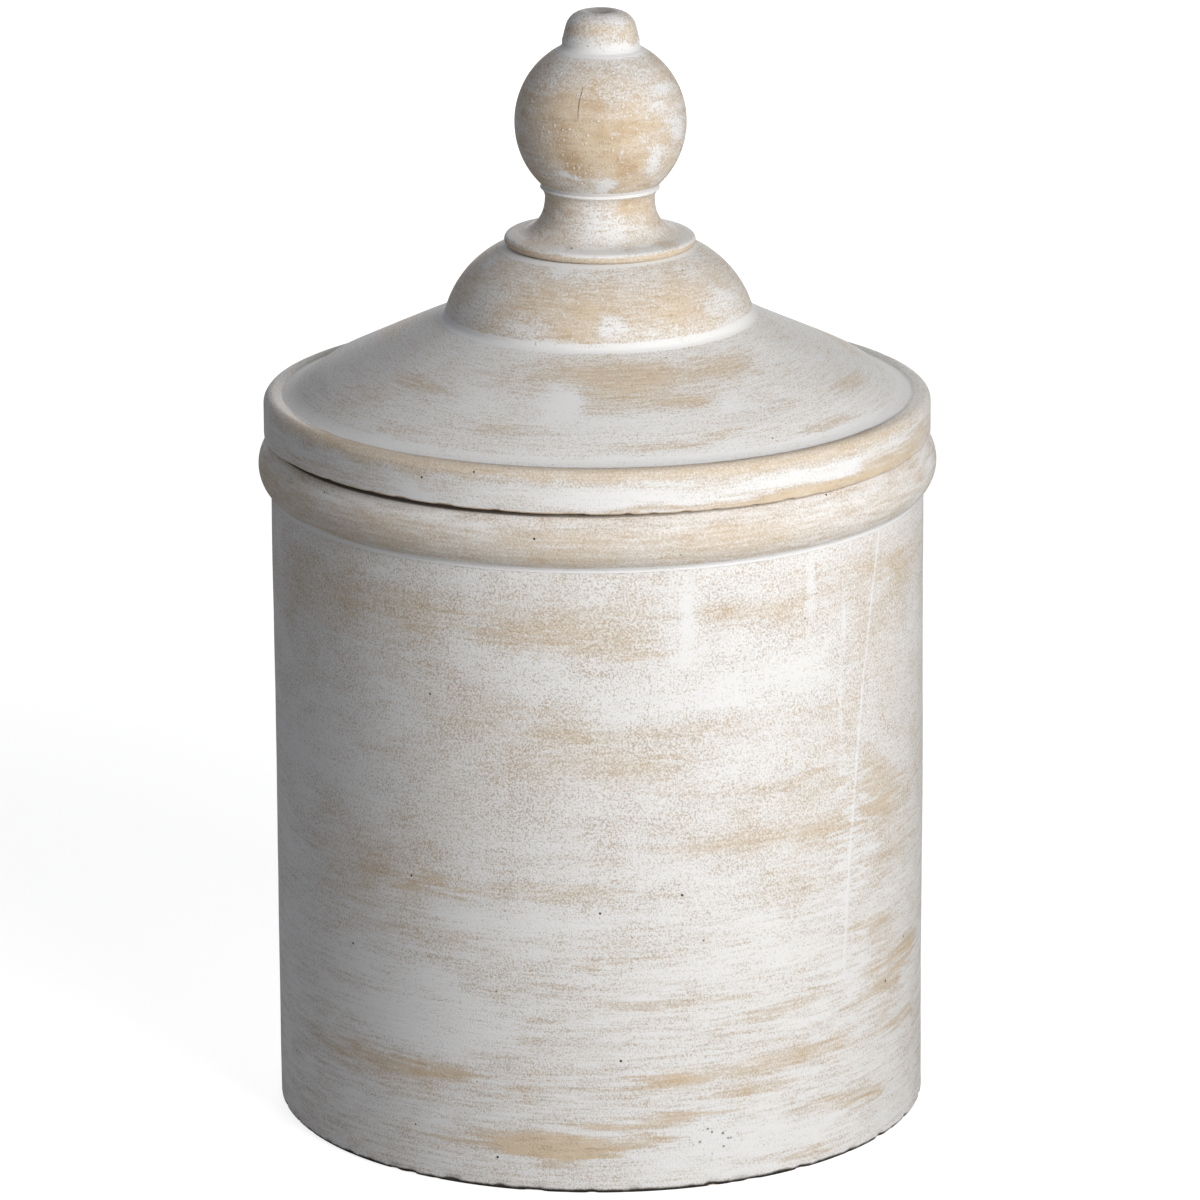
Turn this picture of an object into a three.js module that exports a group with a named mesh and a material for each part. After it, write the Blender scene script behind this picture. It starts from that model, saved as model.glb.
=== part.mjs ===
// A lidded storage canister in limewashed ceramic: a straight jar with a bead below its mouth,
// a conical lid with a domed crown, and a hollow finial set in the crown as the handle.
// Millimetres, Z up. The origin is the centre of the circle that the foot stands on.
import * as THREE from 'three';

// Jar
const BODY_RADIUS = 96;
const BODY_WALL = 9;
const JAR_HEIGHT = 204;
const FLOOR_THICKNESS = 10;
const FLOOR_CORNER_RADIUS = 10;
const FOOT_CHAMFER = 1.3;
const FOOT_RING_WIDTH = 15;
const FOOT_RECESS_DEPTH = 2;
const FOOT_RECESS_SLOPE = 3;
const BEAD_RADIUS = 9.7;
const BEAD_PROUD = 3.7;
const BEAD_SHOULDER_ANGLE = 61;
const MOUTH_ROUNDING = 1.5;

// Lid
const FLANGE_CLEARANCE = 1.5;
const FLANGE_DEPTH = 12;
const FLANGE_THICKNESS = 7;
const FLANGE_ROUNDING = 2;
const BRIM_OVERHANG = 2;
const BRIM_HEIGHT = 11.8;
const BRIM_ARRIS_RADIUS = 1.2;
const BRIM_ROLL_RADIUS = 3;
const GUTTER_WIDTH = 2.8;
const GUTTER_DEPTH = 0.7;
const GUTTER_BOW = 0.6;
const CONE_FOOT_INSET = 12;
const CONE_FOOT_LIFT = 4.3;
const CONE_RISE = 19;
const CONE_BOW = 0.5;
const LID_WALL = 8;
const DOME_RADIUS = 45.5;
const DOME_RISE = 21.1;
const DOME_BOW = 3.5;
const CROWN_SEAT_RADIUS = 27.1;
const CROWN_THICKNESS = 7;
const CROWN_CORNER = 3;

// Finial
const FINIAL_WALL = 9;
const TENON_WALL = 4.5;
const TENON_CLEARANCE = 0.3;
const TENON_SETBACK = 1;
const COLLAR_OVERHANG = 1;
const COLLAR_EDGE_RADIUS = 1.5;
const COLLAR_EDGE_TOP_ANGLE = 60;
const COLLAR_THICKNESS = 3.3;
const CAVETTO_WIDTH = 8.4;
const CAVETTO_HEIGHT = 10.2;
const NECK_RADIUS = 16.1;
const NECK_FLARE_HEIGHT = 4;
const NECK_FLARE_BOW = 0.5;
const LIP_OVERHANG = 1.4;
const LIP_EDGE_RADIUS = 0.5;
const LIP_STEP = 1;
const BALL_RADIUS = 25.1;
const BUTTON_RADIUS = 11.2;
const BUTTON_FLARE_WIDTH = 0.7;
const BUTTON_FLARE_HEIGHT = 2.2;
const BUTTON_FLARE_BOW = 0.3;
const BUTTON_SIDE_HEIGHT = 2;
const BUTTON_SHOULDER_HEIGHT = 6.5;
const BUTTON_SHOULDER_WIDTH = 6.6;
const BUTTON_DIMPLE_DEPTH = 0.4;

// Facets: sides round each revolved piece, and how far a round stretch may cut inside its true curve
const LARGE_PIECE_SIDES = 72;
const FINIAL_SIDES = 48;
const FACET_DEVIATION = 0.12;

// Levels that more than one piece takes its place from
const brimTop = JAR_HEIGHT + BRIM_HEIGHT;
const domeFootLevel = brimTop + CONE_FOOT_LIFT + CONE_RISE;
const seatLevel = domeFootLevel + DOME_RISE;
const mouthRadius = BODY_RADIUS - BODY_WALL;
const boreRadius = NECK_RADIUS - FINIAL_WALL;
const tenonRadius = boreRadius + TENON_WALL;

// How many facets a round stretch needs for its radius and the angle that it turns
function stepsRound(radius, turn) {
  const facetTurn = 2 * Math.acos(1 - FACET_DEVIATION / Math.abs(radius));
  return Math.ceil(Math.abs(turn) / facetTurn);
}

// The outline of half a section, drawn anticlockwise with the axis on its left: radius, then height.
class Outline {
  constructor(radius, height) {
    this.points = [new THREE.Vector2(radius, height)];
  }

  line(radius, height) {
    this.points.push(new THREE.Vector2(radius, height));
    return this;
  }

  // A stretch of a circle about a centre, angles in degrees from straight outwards
  arc(centreRadius, centreHeight, arcRadius, fromDegrees, toDegrees) {
    return this.ellipse(centreRadius, centreHeight, arcRadius, arcRadius, fromDegrees, toDegrees);
  }

  // The same of an ellipse, by its half width and half height
  ellipse(centreRadius, centreHeight, width, height, fromDegrees, toDegrees) {
    const from = THREE.MathUtils.degToRad(fromDegrees);
    const to = THREE.MathUtils.degToRad(toDegrees);
    const steps = stepsRound(Math.max(width, height), THREE.MathUtils.degToRad(toDegrees - fromDegrees));
    const curve = new THREE.EllipseCurve(centreRadius, centreHeight, width, height, from, to, to < from);
    return this.add(curve.getPoints(steps));
  }

  // A circular arc to a point, standing off the straight way there to its right, or left if negative
  bow(radius, height, standOff) {
    const start = this.points[this.points.length - 1];
    const end = new THREE.Vector2(radius, height);
    const chord = start.distanceTo(end);
    const turn = 4 * Math.atan((2 * standOff) / chord);
    const arcRadius = chord / (2 * Math.sin(turn / 2));
    const heading = end.clone().sub(start).angle() - turn / 2;
    const steps = Math.max(2, stepsRound(arcRadius, turn));
    const points = [];
    for (let step = 1; step < steps; step += 1) {
      const turned = (turn * step) / steps;
      const reach = 2 * arcRadius * Math.sin(turned / 2);
      const way = heading + turned / 2;
      points.push(new THREE.Vector2(Math.cos(way), Math.sin(way)).multiplyScalar(reach).add(start));
    }
    return this.add([...points, end]);
  }

  // Leaves out a first point that repeats the last one
  add(points) {
    const nearest = 1e-6;
    const last = this.points[this.points.length - 1];
    const fresh = points.filter((point, index) => index > 0 || point.distanceTo(last) > nearest);
    this.points.push(...fresh);
    return this;
  }

  close() {
    this.points.push(this.points[0].clone());
    return this;
  }
}

function revolve(name, outline, sides, material) {
  const geometry = new THREE.LatheGeometry(outline.points, sides);
  geometry.rotateX(Math.PI / 2);
  const mesh = new THREE.Mesh(geometry, material);
  mesh.name = name;
  return mesh;
}

// How far round from level, in degrees, a circle of one radius has come in to a smaller one
function angleToRadius(radius, circleRadius) {
  return THREE.MathUtils.radToDeg(Math.acos(radius / circleRadius));
}

// The jar, from the middle of its recessed underside, round the foot, up the wall and down inside
function jarOutline() {
  const beadCentreRadius = BODY_RADIUS + BEAD_PROUD - BEAD_RADIUS;
  const beadCentreLevel = JAR_HEIGHT - BEAD_RADIUS * Math.sin(THREE.MathUtils.degToRad(BEAD_SHOULDER_ANGLE));
  const creaseAngle = angleToRadius(BODY_RADIUS - beadCentreRadius, BEAD_RADIUS);
  const ringInnerRadius = BODY_RADIUS - FOOT_RING_WIDTH;
  const cornerCentreRadius = mouthRadius - FLOOR_CORNER_RADIUS;
  const cornerCentreLevel = FLOOR_THICKNESS + FLOOR_CORNER_RADIUS;
  return new Outline(0, FOOT_RECESS_DEPTH)
    .line(ringInnerRadius - FOOT_RECESS_SLOPE, FOOT_RECESS_DEPTH)
    .line(ringInnerRadius, 0)
    .line(BODY_RADIUS - FOOT_CHAMFER, 0)
    .line(BODY_RADIUS, FOOT_CHAMFER)
    .arc(beadCentreRadius, beadCentreLevel, BEAD_RADIUS, -creaseAngle, BEAD_SHOULDER_ANGLE)
    .arc(mouthRadius + MOUTH_ROUNDING, JAR_HEIGHT - MOUTH_ROUNDING, MOUTH_ROUNDING, 90, 180)
    .line(mouthRadius, cornerCentreLevel)
    .arc(cornerCentreRadius, cornerCentreLevel, FLOOR_CORNER_RADIUS, 0, -90)
    .line(0, FLOOR_THICKNESS);
}

// The lid, a shell: flange, brim and roll, cone, dome and crown outside, then down again inside
function lidOutline() {
  const flangeRadius = mouthRadius - FLANGE_CLEARANCE;
  const flangeInnerRadius = flangeRadius - FLANGE_THICKNESS;
  const flangeEdgeLevel = JAR_HEIGHT - FLANGE_DEPTH + FLANGE_ROUNDING;
  const brimRadius = BODY_RADIUS + BRIM_OVERHANG;
  const rollRadius = brimRadius - BRIM_ROLL_RADIUS;
  const coneFootRadius = brimRadius - CONE_FOOT_INSET;
  const slope = CONE_RISE / (coneFootRadius - DOME_RADIUS);
  const dropThroughWall = LID_WALL * Math.hypot(1, slope);
  const coneInside = (radius) => domeFootLevel + (DOME_RADIUS - radius) * slope - dropThroughWall;
  const domeInnerRadius = DOME_RADIUS - LID_WALL;
  const socketRadius = tenonRadius + TENON_CLEARANCE;
  return new Outline(flangeInnerRadius, flangeEdgeLevel)
    .arc(flangeInnerRadius + FLANGE_ROUNDING, flangeEdgeLevel, FLANGE_ROUNDING, 180, 270)
    .arc(flangeRadius - FLANGE_ROUNDING, flangeEdgeLevel, FLANGE_ROUNDING, -90, 0)
    .line(flangeRadius, JAR_HEIGHT)
    .arc(brimRadius - BRIM_ARRIS_RADIUS, JAR_HEIGHT + BRIM_ARRIS_RADIUS, BRIM_ARRIS_RADIUS, -90, 0)
    .arc(rollRadius, brimTop - BRIM_ROLL_RADIUS, BRIM_ROLL_RADIUS, 0, 90)
    .line(rollRadius - GUTTER_WIDTH, brimTop - GUTTER_DEPTH)
    .bow(coneFootRadius, brimTop + CONE_FOOT_LIFT, -GUTTER_BOW)
    .bow(DOME_RADIUS, domeFootLevel, CONE_BOW)
    .bow(CROWN_SEAT_RADIUS, seatLevel, DOME_BOW)
    .line(socketRadius, seatLevel)
    .line(socketRadius, seatLevel - CROWN_THICKNESS)
    .line(CROWN_SEAT_RADIUS - CROWN_CORNER, seatLevel - CROWN_THICKNESS)
    .bow(domeInnerRadius, coneInside(domeInnerRadius), -DOME_BOW)
    .line(flangeInnerRadius, coneInside(flangeInnerRadius))
    .close();
}

// The finial, hollow and open at the foot of its tenon: down inside, then round and up outside
function finialOutline() {
  const collarTop = seatLevel + COLLAR_THICKNESS;
  const cavettoFootRadius = NECK_RADIUS + CAVETTO_WIDTH;
  const neckLevel = collarTop + CAVETTO_HEIGHT;
  const lipLevel = neckLevel + NECK_FLARE_HEIGHT;
  const lipRadius = NECK_RADIUS + LIP_OVERHANG;
  const creaseRadius = lipRadius - LIP_STEP;
  const buttonBaseRadius = BUTTON_RADIUS + BUTTON_FLARE_WIDTH;
  const creaseAngle = angleToRadius(creaseRadius, BALL_RADIUS);
  const buttonAngle = angleToRadius(buttonBaseRadius, BALL_RADIUS);
  const ballLevel = lipLevel + Math.sqrt(BALL_RADIUS ** 2 - creaseRadius ** 2);
  const buttonLevel = ballLevel + Math.sqrt(BALL_RADIUS ** 2 - buttonBaseRadius ** 2);
  const shoulderLevel = buttonLevel + BUTTON_FLARE_HEIGHT + BUTTON_SIDE_HEIGHT;
  const buttonFlatRadius = BUTTON_RADIUS - BUTTON_SHOULDER_WIDTH;
  const hollowRadius = BALL_RADIUS - FINIAL_WALL;
  const tenonFoot = seatLevel - CROWN_THICKNESS + TENON_SETBACK;
  const collarEdgeRadius = CROWN_SEAT_RADIUS + COLLAR_OVERHANG - COLLAR_EDGE_RADIUS;
  const collarEdgeLevel = seatLevel + COLLAR_EDGE_RADIUS;
  const lipEdgeLevel = lipLevel - LIP_EDGE_RADIUS;
  return new Outline(0, ballLevel + hollowRadius)
    .arc(0, ballLevel, hollowRadius, 90, -angleToRadius(boreRadius, hollowRadius))
    .line(boreRadius, tenonFoot)
    .line(tenonRadius, tenonFoot)
    .line(tenonRadius, seatLevel)
    .arc(collarEdgeRadius, collarEdgeLevel, COLLAR_EDGE_RADIUS, -90, COLLAR_EDGE_TOP_ANGLE)
    .line(cavettoFootRadius, collarTop)
    .ellipse(cavettoFootRadius, neckLevel, CAVETTO_WIDTH, CAVETTO_HEIGHT, 270, 180)
    .bow(lipRadius, lipEdgeLevel, -NECK_FLARE_BOW)
    .arc(lipRadius - LIP_EDGE_RADIUS, lipEdgeLevel, LIP_EDGE_RADIUS, 0, 90)
    .arc(0, ballLevel, BALL_RADIUS, -creaseAngle, buttonAngle)
    .bow(BUTTON_RADIUS, buttonLevel + BUTTON_FLARE_HEIGHT, -BUTTON_FLARE_BOW)
    .line(BUTTON_RADIUS, shoulderLevel)
    .ellipse(buttonFlatRadius, shoulderLevel, BUTTON_SHOULDER_WIDTH, BUTTON_SHOULDER_HEIGHT, 0, 90)
    .line(0, shoulderLevel + BUTTON_SHOULDER_HEIGHT - BUTTON_DIMPLE_DEPTH);
}

const limewash = new THREE.MeshStandardMaterial({ color: 0xcfcac1, roughness: 0.85, metalness: 0 });
const wornLimewash = new THREE.MeshStandardMaterial({ color: 0xcdc4b4, roughness: 0.85, metalness: 0 });
const bareClay = new THREE.MeshStandardMaterial({ color: 0xc9b593, roughness: 0.8, metalness: 0 });

const canister = new THREE.Group();
const lidAssembly = new THREE.Group();
canister.add(revolve('jar_body', jarOutline(), LARGE_PIECE_SIDES, limewash));
lidAssembly.add(revolve('lid', lidOutline(), LARGE_PIECE_SIDES, wornLimewash));
lidAssembly.add(revolve('finial', finialOutline(), FINIAL_SIDES, bareClay));
canister.add(lidAssembly);

export default canister;
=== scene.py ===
import math

import bmesh
import bpy
from bpy.props import FloatProperty, FloatVectorProperty, PointerProperty
from mathutils import Matrix, Vector, noise


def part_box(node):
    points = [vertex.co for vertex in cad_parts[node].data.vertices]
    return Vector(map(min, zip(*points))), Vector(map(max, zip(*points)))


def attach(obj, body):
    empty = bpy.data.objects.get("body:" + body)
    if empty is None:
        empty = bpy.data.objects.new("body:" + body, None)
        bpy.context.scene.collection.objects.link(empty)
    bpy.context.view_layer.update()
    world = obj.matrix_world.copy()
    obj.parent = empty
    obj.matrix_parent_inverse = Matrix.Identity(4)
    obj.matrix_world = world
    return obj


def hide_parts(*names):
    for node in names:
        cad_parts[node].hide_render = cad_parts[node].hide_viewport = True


bl_info = {
    "name": "Limewashed Canister",
    "version": (1, 0, 0),
    "blender": (4, 5, 0),
    "location": "3D View > Sidebar > Canister",
    "description": "Makes a lidded ceramic canister in worn limewash, and a studio for it",
    "category": "Add Mesh",
}

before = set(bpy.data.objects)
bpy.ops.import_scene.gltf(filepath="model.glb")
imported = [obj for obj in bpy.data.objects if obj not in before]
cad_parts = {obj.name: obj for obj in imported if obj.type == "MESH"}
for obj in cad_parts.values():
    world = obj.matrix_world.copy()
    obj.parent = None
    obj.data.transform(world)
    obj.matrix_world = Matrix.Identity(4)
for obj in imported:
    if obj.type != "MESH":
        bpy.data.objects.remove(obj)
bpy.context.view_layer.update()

MM = 0.001

# Levels that the frame fixes: the jar's rim, the seat of the finial and the top of the button
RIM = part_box("jar_body")[1].z
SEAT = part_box("lid")[1].z
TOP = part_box("finial")[1].z
BRIM_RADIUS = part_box("lid")[1].x
COLLAR_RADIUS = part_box("finial")[1].x

# The socket in the lid's crown, which takes the finial's tenon with 0.3 mm to spare
SOCKET_RADIUS = 11.9 * MM
SOCKET_DEPTH = 7 * MM

# Facets round each piece, which is turned as one wedge and then repeated
WEDGES = 20
JAR_SIDES = 640
LID_SIDES = 600
FINIAL_SIDES = 360

# Where brushing and wear left the wash thin, seen from the front: degrees to the right, height in
# mm, half of the width and height of the place, and how much of the wash is gone there
JAR_WORN = (
    (-24, 172, 32, 9, 0.34),
    (-2, 168, 16, 8, 0.3),
    (-17, 169, 6, 6, 0.34),
    (-31, 160, 5, 10, 0.2),
    (8, 163, 4, 2.5, 0.36),
    (22, 173, 6, 3, 0.3),
    (33, 171, 9, 4.5, 0.45),
    (50, 176, 18, 5, 0.28),
    (64, 174, 5, 5, 0.4),
    (74, 172, 8, 5, 0.3),
    (4, 139, 16, 3, 0.28),
    (-18, 140, 18, 2, 0.15),
    (-8, 145, 6, 6, 0.2),
    (-4, 130, 6, 7, 0.26),
    (7, 130, 7, 7, 0.3),
    (-17, 130, 10, 9, 0.14),
    (-30, 125, 8, 24, 0.1),
    (33, 119, 9, 2.2, 0.36),
    (14, 121, 20, 3, 0.14),
    (32, 104, 18, 3.5, 0.42),
    (10, 102, 14, 3, 0.2),
    (44, 100, 6, 4, 0.3),
    (56, 107, 6, 12, 0.42),
    (66, 103, 12, 14, 0.3),
    (60, 86, 9, 6, 0.22),
    (-10, 91, 12, 2.8, 0.4),
    (-30, 91, 5, 4, 0.5),
    (-38, 88, 10, 5, 0.22),
    (38, 90, 10, 9, 0.24),
    (-30, 75, 14, 3, 0.24),
    (0, 70, 4, 1.8, 0.36),
    (54, 68, 6, 3, 0.32),
    (16, 57, 12, 1.8, 0.32),
    (30, 51, 10, 2.2, 0.32),
    (70, 53, 7, 5, 0.55),
    (55, 47, 9, 2.5, 0.36),
    (-27, 33, 10, 3, 0.5),
    (-48, 33, 18, 4, 0.24),
    (10, 34, 7, 3.2, 0.75),
    (26, 35, 14, 3, 0.36),
    (26, 28, 12, 2, 0.34),
    (6, 21, 8, 1.8, 0.6),
    (15, 23, 7, 1.6, 0.6),
    (-8, 13, 8, 4, 1.0),
    (-16, 15, 10, 4, 0.55),
    (6, 16, 8, 3.5, 0.5),
    (46, 17, 10, 3, 0.32),
    (55, 15, 4, 2.5, 0.45),
    (38, 5, 4, 2, 0.4),
    (65, 33, 6, 2.5, 0.34),
    (44, 36, 8, 2.5, 0.25),
    (-66, 99, 3, 1.5, 0.3),
    (-66, 90, 3, 2, 0.3),
    (-44, 128, 4, 2, 0.25),
    (104, 148, 14, 7, 0.36),
    (142, 171, 24, 6, 0.4),
    (128, 96, 18, 5, 0.34),
    (150, 40, 20, 5, 0.45),
    (-112, 128, 20, 7, 0.34),
    (-146, 160, 20, 6, 0.36),
    (-135, 82, 20, 5, 0.36),
    (-104, 24, 22, 4, 0.5),
)

# Where the wash lies thick, in the same way
JAR_THICK = (
    (16, 151, 28, 6, 0.2),
    (33, 148, 16, 7, 0.16),
    (-15, 82, 22, 3.5, 0.2),
    (-40, 62, 20, 4, 0.16),
    (-32, 48, 18, 8, 0.2),
    (24, 68, 12, 6, 0.16),
    (50, 96, 2.5, 36, 0.3),
    (50, 55, 5, 8, 0.2),
    (33, 13, 12, 5, 0.26),
    (-60, 120, 20, 40, 0.1),
    (-70, 60, 15, 50, 0.1),
    (120, 70, 30, 12, 0.2),
    (-120, 110, 30, 10, 0.2),
)

# Runs of wash down from the bead
JAR_RUNS = (
    (15.2, 172, 1.3, 11, 0.4),
    (14.6, 161, 1.8, 3, 0.3),
    (39.5, 177, 1.0, 9, 0.4),
    (46.5, 141, 0.7, 18, 0.3),
    (47.5, 163, 0.6, 12, 0.25),
)

# Broad, soft worn places
JAR_SOFT = (
    (-58, 172, 22, 16, 0.14),
    (-48, 92, 20, 18, 0.16),
    (-36, 32, 20, 8, 0.12),
    (-12, 60, 14, 7, 0.1),
    (-24, 150, 14, 9, 0.06),
    (58, 168, 10, 20, 0.14),
    (52, 118, 12, 26, 0.16),
    (60, 56, 12, 20, 0.14),
    (2, 132, 22, 10, 0.08),
    (30, 34, 18, 6, 0.1),
    (120, 110, 26, 40, 0.14),
    (-140, 130, 30, 40, 0.14),
)

# A patch by the foot where the wash has flaked
JAR_FLAKED = ((20, 15.5, 5, 5.5, 1),)

# The same on the lid, whose second figure is the height less the distance from the axis
LID_WORN = (
    (-10, 180, 12, 9, 0.5),
    (8, 178, 13, 12, 0.62),
    (20, 172, 11, 14, 0.4),
    (4, 163, 9, 10, 0.45),
    (24, 160, 10, 5, 0.35),
    (38, 176, 12, 10, 0.5),
    (50, 181, 8, 4, 0.3),
    (-22, 170, 9, 12, 0.26),
    (-30, 176, 6, 6, 0.2),
    (-20, 145, 10, 5, 0.24),
    (-50, 163, 10, 5, 0.34),
    (-43, 161, 6, 4, 0.25),
    (-42, 136, 6, 3.5, 0.3),
    (-60, 146, 8, 8, 0.18),
    (14, 136, 12, 2.6, 0.5),
    (26, 140, 8, 2.6, 0.35),
    (52, 133, 7, 3, 0.45),
    (72, 146, 9, 4, 0.5),
    (44, 152, 5, 6, 0.22),
    (150, 165, 26, 9, 0.4),
    (110, 150, 16, 6, 0.35),
    (-110, 172, 22, 8, 0.4),
    (-145, 148, 20, 7, 0.35),
    (-16, 211, 14, 13, 0.6),
    (-34, 210, 12, 9, 0.45),
    (4, 213, 14, 14, 0.55),
    (26, 211, 14, 14, 0.5),
    (42, 211, 12, 12, 0.45),
    (70, 220, 14, 5, 0.35),
    (-14, 200, 8, 4, 0.5),
    (120, 212, 30, 9, 0.4),
    (-120, 214, 40, 9, 0.4),
    (30, 107.4, 34, 1.8, 0.6),
    (52, 108, 18, 4, 0.5),
    (74, 110, 12, 5, 0.45),
    (20, 112, 8, 1.6, 0.25),
    (-32, 112, 8, 3, 0.26),
    (-50, 109, 14, 4, 0.22),
    (120, 109, 30, 3, 0.4),
    (-130, 110, 30, 3, 0.35),
)

# Where the lid's wash lies thick
LID_THICK = (
    (-8.5, 158, 4, 10, 0.6),
    (-10, 166, 3, 6, 0.3),
    (33, 156, 5, 6, 0.4),
    (6, 203, 5, 4.5, 0.6),
    (-20, 229, 5, 5, 0.5),
    (0, 150, 30, 4, 0.16),
    (-28, 155, 6, 14, 0.1),
    (36, 112, 14, 1.8, 0.3),
    (48, 111, 4, 2, 0.4),
    (-33, 109, 3, 3, 0.4),
    (6, 110.5, 16, 2.6, 0.25),
    (60, 206, 14, 4, 0.25),
)

# The same on the finial, by height again
FINIAL_WORN = (
    (-14, 301, 16, 9, 0.7),
    (6, 296, 18, 9, 0.7),
    (20, 302, 12, 7, 0.55),
    (-32, 300, 16, 11, 0.5),
    (-55, 303, 14, 8, 0.35),
    (26, 289, 8, 8, 0.5),
    (-16, 289, 14, 6, 0.5),
    (18, 283, 6, 4, 0.55),
    (36, 300, 9, 3, 0.5),
    (50, 296, 8, 3, 0.45),
    (62, 289, 6, 5, 0.45),
    (72, 284, 12, 2.5, 0.45),
    (38, 282, 8, 2.5, 0.35),
    (66, 312, 16, 2.4, 0.45),
    (66, 305, 12, 1.2, 0.3),
    (0, 313, 26, 2, 0.2),
    (-30, 273, 18, 4, 0.34),
    (28, 274.5, 12, 3, 0.5),
    (50, 273, 22, 4, 0.4),
    (-45, 267, 16, 2, 0.2),
    (0, 325.6, 70, 1.8, 0.7),
    (60, 323, 22, 3, 0.5),
    (-70, 324, 20, 2, 0.4),
    (140, 300, 28, 10, 0.6),
    (-130, 294, 28, 9, 0.6),
    (130, 273, 30, 4, 0.35),
    (-120, 272, 30, 4, 0.35),
    (10, 286, 9, 3, 0.5),
    (52, 262.8, 20, 1.2, 0.45),
    (-50, 262.8, 18, 1.2, 0.4),
)

# Brown stains on the ball and the neck
FINIAL_STAINED = (
    (17, 289.5, 11, 4, 1),
    (-17, 289, 10, 5, 0.9),
    (-30, 297, 9, 6, 0.7),
    (-8, 308, 12, 4, 0.6),
    (6, 299, 8, 4, 0.6),
    (36, 296, 8, 3, 0.5),
    (30, 275, 10, 2.5, 0.5),
    (150, 296, 40, 8, 0.5),
)

# Smears and dots of thick wash
FINIAL_THICK = (
    (42, 288, 6, 5, 0.45),
    (16, 291, 2.2, 3, 0.55),
    (20, 286, 2.2, 4, 0.55),
    (-21, 284.6, 6, 1.5, 0.7),
    (6, 282, 8, 3, 0.6),
    (64, 298, 10, 3.4, 0.36),
    (44, 305, 8, 2, 0.3),
    (54, 309, 14, 1.6, 0.4),
    (-28, 285, 4, 1.4, 0.4),
    (12, 298, 2.2, 1, 0.5),
    (32, 302.5, 2.2, 1, 0.5),
    (12, 268, 10, 4, 0.3),
    (-10, 270, 10, 5, 0.2),
    (0, 320.4, 90, 1.5, 0.45),
    (-10, 263.4, 26, 0.8, 0.5),
    (34, 263.2, 14, 0.8, 0.45),
)


def size_property(name, description, default):
    """A size, in metres."""
    return FloatProperty(name=name, description=description, default=default, unit="LENGTH")


def angle_property(name, description, degrees):
    """A turn or a lean, which is given here in degrees."""
    default = math.radians(degrees)
    return FloatProperty(name=name, description=description, default=default, subtype="ANGLE")


def power_property(name, description, default):
    """The power of a lamp, in watts."""
    return FloatProperty(name=name, description=description, default=default, unit="POWER")


def colour_property(name, description, default):
    """A colour, as its red, green and blue light."""
    return FloatVectorProperty(
        name=name, description=description, default=default, subtype="COLOR"
    )


class JarShape(bpy.types.PropertyGroup):
    """The jar's sizes and the wear of its foot."""

    radius: size_property("Radius", "Outside of the wall", 0.096)
    wall: size_property("Wall", "Thickness of the wall", 0.009)
    floor: size_property("Floor", "Thickness of the floor", 0.010)
    recess: size_property("Recess", "Height of the hollow inside the foot ring", 0.002)
    foot_ring: size_property("Foot Ring", "Width of the ring that the jar stands on", 0.015)
    bead: size_property("Bead", "Radius of the bead's round", 0.0097)
    bead_proud: size_property("Bead Proud", "How far the bead stands out from the wall", 0.0037)
    wobble: size_property("Wobble", "How far the wall strays from round", 0.00025)
    chips: size_property("Chips", "Depth of the chips along the foot", 0.0007)


class LidShape(bpy.types.PropertyGroup):
    """The lid's sizes and how it sits on the jar."""

    brim_height: size_property("Brim Height", "From the rim to the roll's crest", 0.013)
    sag: size_property("Sag", "How far the brim droops behind", 0.0012)
    roll: size_property("Roll", "Radius of the roll round the brim", 0.003)
    arris: size_property("Arris", "Rounding of the brim's lower edge", 0.0007)
    cone_foot: size_property("Cone Foot", "Radius at which the cone starts", 0.080)
    dome: size_property("Dome", "Radius of the dome's foot", 0.0455)
    crown: size_property("Crown", "Radius of the flat seat on the crown", 0.0271)
    shell: size_property("Shell", "Thickness of the cone and the dome", 0.008)
    flange_depth: size_property("Flange Depth", "How far the flange reaches down", 0.012)
    flange_wall: size_property("Flange Wall", "Thickness of the flange", 0.007)
    play: size_property("Play", "Gap between the flange and the jar's wall", 0.0015)
    lean: angle_property("Lean", "How far the lid tips on the rim", 0.27)
    stray: size_property("Stray", "How far the dome stands off the axis", 0.0007)
    gap: size_property("Gap", "Widest gap under the brim", 0.001)


class FinialShape(bpy.types.PropertyGroup):
    """The finial's sizes and its stance."""

    ball: size_property("Ball", "Radius of the ball", 0.0251)
    shell: size_property("Shell", "Thickness of the ball's wall", 0.009)
    neck: size_property("Neck", "Radius of the neck", 0.0161)
    button: size_property("Button", "Radius of the button on top", 0.0112)
    lean: angle_property("Lean", "How far it tips on its seat", 0.5)
    offset: size_property("Offset", "How far it stands off the dome's axis", 0.0003)


class LimewashFinish(bpy.types.PropertyGroup):
    """The colours of clay and wash, and the relief of the surface."""

    wash: colour_property("Wash", "Limewash where it is thick", (0.775, 0.762, 0.745))
    thin_wash: colour_property("Thin Wash", "Limewash that clay shows through", (0.72, 0.65, 0.56))
    gap: colour_property("Gaps", "Dips between the grains of the wash", (0.56, 0.51, 0.455))
    clay: colour_property("Clay", "Bare clay", (0.64, 0.52, 0.38))
    deep_clay: colour_property("Deep Clay", "Darker clouds in the clay", (0.53, 0.39, 0.25))
    speck: colour_property("Specks", "Dark specks in the clay", (0.30, 0.235, 0.17))
    # Near black: the colour of real pinholes, flakes and the crack, and also of painted shade in
    # the slit under the lid, on the foot's chamfer, on the roll's step and in the button's dimple
    grime_and_painted_shade: colour_property("Grime", "Dirt in joints and on the foot", (0.06, 0.05, 0.04))
    relief: FloatProperty(
        name="Relief", description="Strength of the surface's relief", default=1.0, min=0.0, max=2.0
    )


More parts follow.
